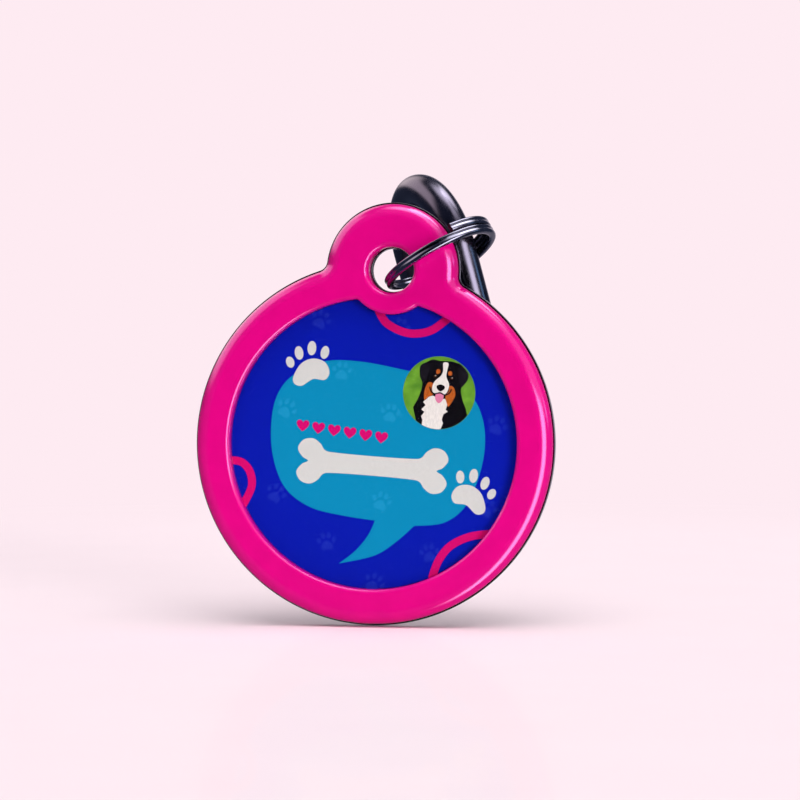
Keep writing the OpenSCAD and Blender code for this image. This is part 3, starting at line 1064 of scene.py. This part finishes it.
def loop_tree():
    """Sweeps a round wire along two straight legs and the half-round bends that join them."""
    tree, given = geometry_tree("wire loop", ["Bend Radius", "Leg Length", "Wire Radius"])
    circle = node(tree, "GeometryNodeCurvePrimitiveCircle", {
        "Resolution": LOOP_STEPS, "Radius": given["Bend Radius"]}, mode="RADIUS")
    place = node(tree, "GeometryNodeInputPosition")
    height = node(tree, "ShaderNodeSeparateXYZ", {0: place.outputs[0]})
    half = maths(tree, "MULTIPLY", given["Leg Length"], 0.5)
    back = maths(tree, "MULTIPLY", given["Leg Length"], -0.5)
    level = ranged(tree, height.outputs["Y"], -LEG_SPLIT, LEG_SPLIT, back, half)
    apart = node(tree, "ShaderNodeCombineXYZ", {"Y": level})
    loop = node(tree, "GeometryNodeSetPosition", {
        "Geometry": circle.outputs[0], "Offset": apart.outputs[0]})
    section = node(tree, "GeometryNodeCurvePrimitiveCircle", {
        "Resolution": WIRE_STEPS, "Radius": given["Wire Radius"]}, mode="RADIUS")
    swept = node(tree, "GeometryNodeCurveToMesh", {
        "Curve": loop.outputs[0], "Profile Curve": section.outputs[0]})
    end_tree(tree, swept.outputs[0], given["Material"])
    return tree


# The camera, from the middle of the disc: what it looks at, how far off, which way and how far rolled
LOOK_AT = Vector((1.87, 0, 4.08)) * MM
LOOK_FROM = 250 * MM
LOOK_AZIMUTH = 9.0
LOOK_ELEVATION = 1.5
LOOK_ROLL = 6.31
LENS = 128.0
SENSOR = 36.0
NEAREST = 10 * MM
FARTHEST = 20.0

# The floor lies this far below the middle of the disc, level in the camera's view, so that the tag leans on
# it as in the photograph. It turns into plain background between two radii, and is a little darker than it.
FLOOR_BELOW = 16.1 * MM
FLOOR_SIZE = 8.0
FLOOR_NEAR = 90 * MM
FLOOR_FAR = 170 * MM
FLOOR_SHADE = 0.975
FLOOR_CLOUDS = 12 * MM
FLOOR_CHANGE = 0.006
SHEEN_SHARE = 0.04
SHEEN_ROUGHNESS = 0.02


def sight(turn, height):
    """Direction of sight from a place so far to the right of the front and so high, in degrees."""
    a, e = math.radians(turn), math.radians(height)
    return Vector((-math.sin(a) * math.cos(e), math.cos(a) * math.cos(e), -math.sin(e)))


def aim(direction, roll=0.0):
    """Turn of a camera or lamp that looks along a direction, with its up side level and then rolled."""
    ahead = direction.normalized()
    side = ahead.cross(Vector((0, 0, 1))).normalized()
    up = side.cross(ahead)
    c, s = math.cos(roll), math.sin(roll)
    across, upward = side * c + up * s, up * c - side * s
    return Matrix((across, upward, -ahead)).transposed().to_4x4()


class PETTAG_OT_stage(bpy.types.Operator):
    """Set the floor, the background, the lamps and the camera"""
    bl_idname = "pettag.stage"
    bl_label = "Stage"

    def execute(self, context):
        scene = context.scene
        middle = tag_shape().middle
        colour = list(scene.tag_colours.floor)
        ahead = sight(LOOK_AZIMUTH, LOOK_ELEVATION)
        level = Matrix.Rotation(-math.radians(LOOK_ROLL), 3, ahead)
        half = FLOOR_SIZE / 2
        corners = [(-half, -half), (half, -half), (half, half), (-half, half)]
        floor = bpy.data.meshes.new("floor")
        places = [middle + level @ Vector((x, y, -FLOOR_BELOW)) for x, y in corners]
        floor.from_pydata(places, [], [(0, 1, 2, 3)])
        mesh_piece("floor", floor, floor_finish("floor", colour))
        background(scene, colour)

        lens = bpy.data.cameras.new("camera")
        lens.lens, lens.sensor_width = LENS, SENSOR
        lens.clip_start, lens.clip_end = NEAREST, FARTHEST
        camera = bpy.data.objects.new("camera", lens)
        camera.matrix_world = (Matrix.Translation(middle + LOOK_AT - ahead * LOOK_FROM)
                               @ aim(ahead, math.radians(LOOK_ROLL)))
        scene.collection.objects.link(camera)
        scene.camera = camera

        for name, turn, height, strength, size in LAMPS:
            sun = bpy.data.lights.new(name, "SUN")
            sun.energy, sun.angle = strength, math.radians(size)
            lamp = bpy.data.objects.new(name, sun)
            beam = sight(turn, height)
            lamp.matrix_world = Matrix.Translation(-beam) @ aim(beam)
            lamp.visible_glossy = False
            scene.collection.objects.link(lamp)
        scene.view_settings.view_transform = "Standard"
        return {"FINISHED"}


# Lamps as (name, turn to the right of the front, height, strength, apparent size), with angles in degrees
LAMPS = [
    ("key", 36, 9, 1.75, 24),
    ("top", 5, 73, 2.55, 64),
]
SOFT_LIGHT = 0.22


def floor_finish(name, colour):
    """Pale matt floor with a faint sheen. Far off it is plain background to the eye and open to all else."""
    material, tree = empty_material(name)
    cloud = grain(tree, FLOOR_CLOUDS, detail=3.0)
    matt = node(tree, "ShaderNodeBsdfDiffuse", {
        "Color": tinted(tree, [part * FLOOR_SHADE for part in colour], cloud, FLOOR_CHANGE)})
    sheen = node(tree, "ShaderNodeBsdfGlossy", {"Color": (1, 1, 1, 1), "Roughness": SHEEN_ROUGHNESS})
    near = blend(tree, SHEEN_SHARE, matt, sheen)
    path = node(tree, "ShaderNodeLightPath")
    clear = node(tree, "ShaderNodeBsdfTransparent")
    plain = node(tree, "ShaderNodeEmission", {"Color": colour, "Strength": 1.0})
    far = blend(tree, path.outputs["Is Camera Ray"], clear, plain)
    place = node(tree, "ShaderNodeTexCoord")
    reach = node(tree, "ShaderNodeVectorMath", {0: place.outputs["Object"]}, operation="LENGTH")
    away = ramp(tree, reach.outputs["Value"], FLOOR_NEAR, FLOOR_FAR)
    open_share = maths(tree, "MAXIMUM", away, path.outputs["Is Glossy Ray"])
    return surfaced(material, blend(tree, open_share, near, far))


# Soft boxes that gloss shows, as (strength, tint, middle turn, half width, soft edge, lowest and highest sine
# of height), with turns in degrees. Each fades at its top and bottom over EDGE_HEIGHT to either side.
WHITE = (1.0, 0.97, 1.0)
SOFT_BOXES = [
    (6.5, WHITE, 52, 8, 15, -0.85, 0.32),
    (0.6, WHITE, 68, 20, 20, 0.3, 0.85),
    (6.0, WHITE, 140, 25, 20, 0.82, 1.2),
    (2.2, WHITE, 60, 15, 20, 0.8, 1.2),
    (6.0, WHITE, 0, 180, 1, 0.97, 1.2),
    (1.9, (1.0, 0.84, 0.82), -106, 34, 24, 0.18, 0.72),
    (3.0, (0.28, 0.66, 1.0), 97, 3, 7, 0.24, 0.36),
]
EDGE_HEIGHT = 0.08

# The pale back that gloss shows, and the dim front, which fade between these Y parts of a direction
BACK_STRENGTH = 0.8
BACK_FROM, BACK_TO = 0.85, 0.99
FRONT_COLOUR = (0.06, 0.075, 0.13)
FRONT_FROM, FRONT_TO = -0.97, -0.8


def background(scene, colour):
    """Pale background, an even soft light, and what gloss shows: a dim front, soft boxes, the pale back."""
    world = bpy.data.worlds.new("studio")
    scene.world = world
    world.use_nodes = True
    tree = world.node_tree
    tree.nodes.clear()
    path = node(tree, "ShaderNodeLightPath")
    place = node(tree, "ShaderNodeTexCoord")
    across, away, height = node(tree, "ShaderNodeSeparateXYZ", {0: place.outputs["Generated"]}).outputs
    turn = maths(tree, "ARCTAN2", across, maths(tree, "MULTIPLY", away, -1.0))
    back = ramp(tree, away, BACK_FROM, BACK_TO, 0.0, BACK_STRENGTH)
    front = node(tree, "ShaderNodeVectorMath", {
        0: FRONT_COLOUR, "Scale": ramp(tree, away, FRONT_FROM, FRONT_TO)}, operation="SCALE")
    shown_light = node(tree, "ShaderNodeVectorMath", {
        0: colour[:3], 1: back, 2: front.outputs[0]}, operation="MULTIPLY_ADD")
    for strength, tint, middle, half, edge, low, high in SOFT_BOXES:
        off = maths(tree, "ABSOLUTE", maths(tree, "SUBTRACT", turn, math.radians(middle)))
        wide = ramp(tree, off, math.radians(half), math.radians(half + edge), 1.0, 0.0)
        tall = maths(tree, "MULTIPLY", ramp(tree, height, low - EDGE_HEIGHT, low + EDGE_HEIGHT),
                     ramp(tree, height, high - EDGE_HEIGHT, high + EDGE_HEIGHT, 1.0, 0.0))
        light = [strength * part for part in tint]
        box = node(tree, "ShaderNodeVectorMath", {
            0: light, "Scale": maths(tree, "MULTIPLY", wide, tall)}, operation="SCALE")
        shown_light = node(tree, "ShaderNodeVectorMath", {
            0: shown_light.outputs[0], 1: box.outputs[0]}, operation="ADD")
    plain = node(tree, "ShaderNodeBackground", {"Color": colour, "Strength": 1.0})
    studio = node(tree, "ShaderNodeBackground", {"Color": shown_light.outputs[0], "Strength": 1.0})
    soft = node(tree, "ShaderNodeBackground", {"Color": (1, 1, 1, 1), "Strength": SOFT_LIGHT})
    bright = maths(tree, "MAXIMUM", path.outputs["Is Glossy Ray"], path.outputs["Is Transmission Ray"])
    lit = blend(tree, bright, soft, studio)
    shown = blend(tree, path.outputs["Is Camera Ray"], lit, plain)
    output = tree.nodes.new("ShaderNodeOutputWorld")
    tree.links.new(shown.outputs[0], output.inputs["Surface"])


STEPS = (
    PETTAG_OT_back_plate,
    PETTAG_OT_colour_frame,
    PETTAG_OT_insert,
    PETTAG_OT_figures,
    PETTAG_OT_portrait,
    PETTAG_OT_split_ring,
    PETTAG_OT_strap_ring,
    PETTAG_OT_stage,
)


class PETTAG_PT_panel(bpy.types.Panel):
    """Sizes, colours and making steps of the pet tag"""
    bl_idname = "PETTAG_PT_panel"
    bl_label = "Pet tag"
    bl_space_type = "VIEW_3D"
    bl_region_type = "UI"
    bl_category = "Pet tag"

    def draw(self, context):
        for group in (context.scene.tag_sizes, context.scene.ring_sizes, context.scene.tag_colours):
            box = self.layout.box()
            for name in group.bl_rna.properties.keys():
                if name not in ("rna_type", "name"):
                    box.prop(group, name)
        for step in STEPS:
            self.layout.operator(step.bl_idname)


GROUPS = {"tag_sizes": TagSizes, "ring_sizes": RingSizes, "tag_colours": TagColours}


def register():
    for group in GROUPS.values():
        bpy.utils.register_class(group)
    for name, group in GROUPS.items():
        setattr(bpy.types.Scene, name, bpy.props.PointerProperty(type=group))
    for step in STEPS + (PETTAG_PT_panel,):
        bpy.utils.register_class(step)


def unregister():
    for step in reversed(STEPS + (PETTAG_PT_panel,)):
        bpy.utils.unregister_class(step)
    for name, group in GROUPS.items():
        delattr(bpy.types.Scene, name)
        bpy.utils.unregister_class(group)


def main():
    register()
    bpy.ops.pettag.back_plate()
    bpy.ops.pettag.colour_frame()
    bpy.ops.pettag.insert()
    bpy.ops.pettag.figures()
    bpy.ops.pettag.portrait()
    bpy.ops.pettag.split_ring()
    bpy.ops.pettag.strap_ring()
    bpy.ops.pettag.stage()


if __name__ == "__main__":
    main()
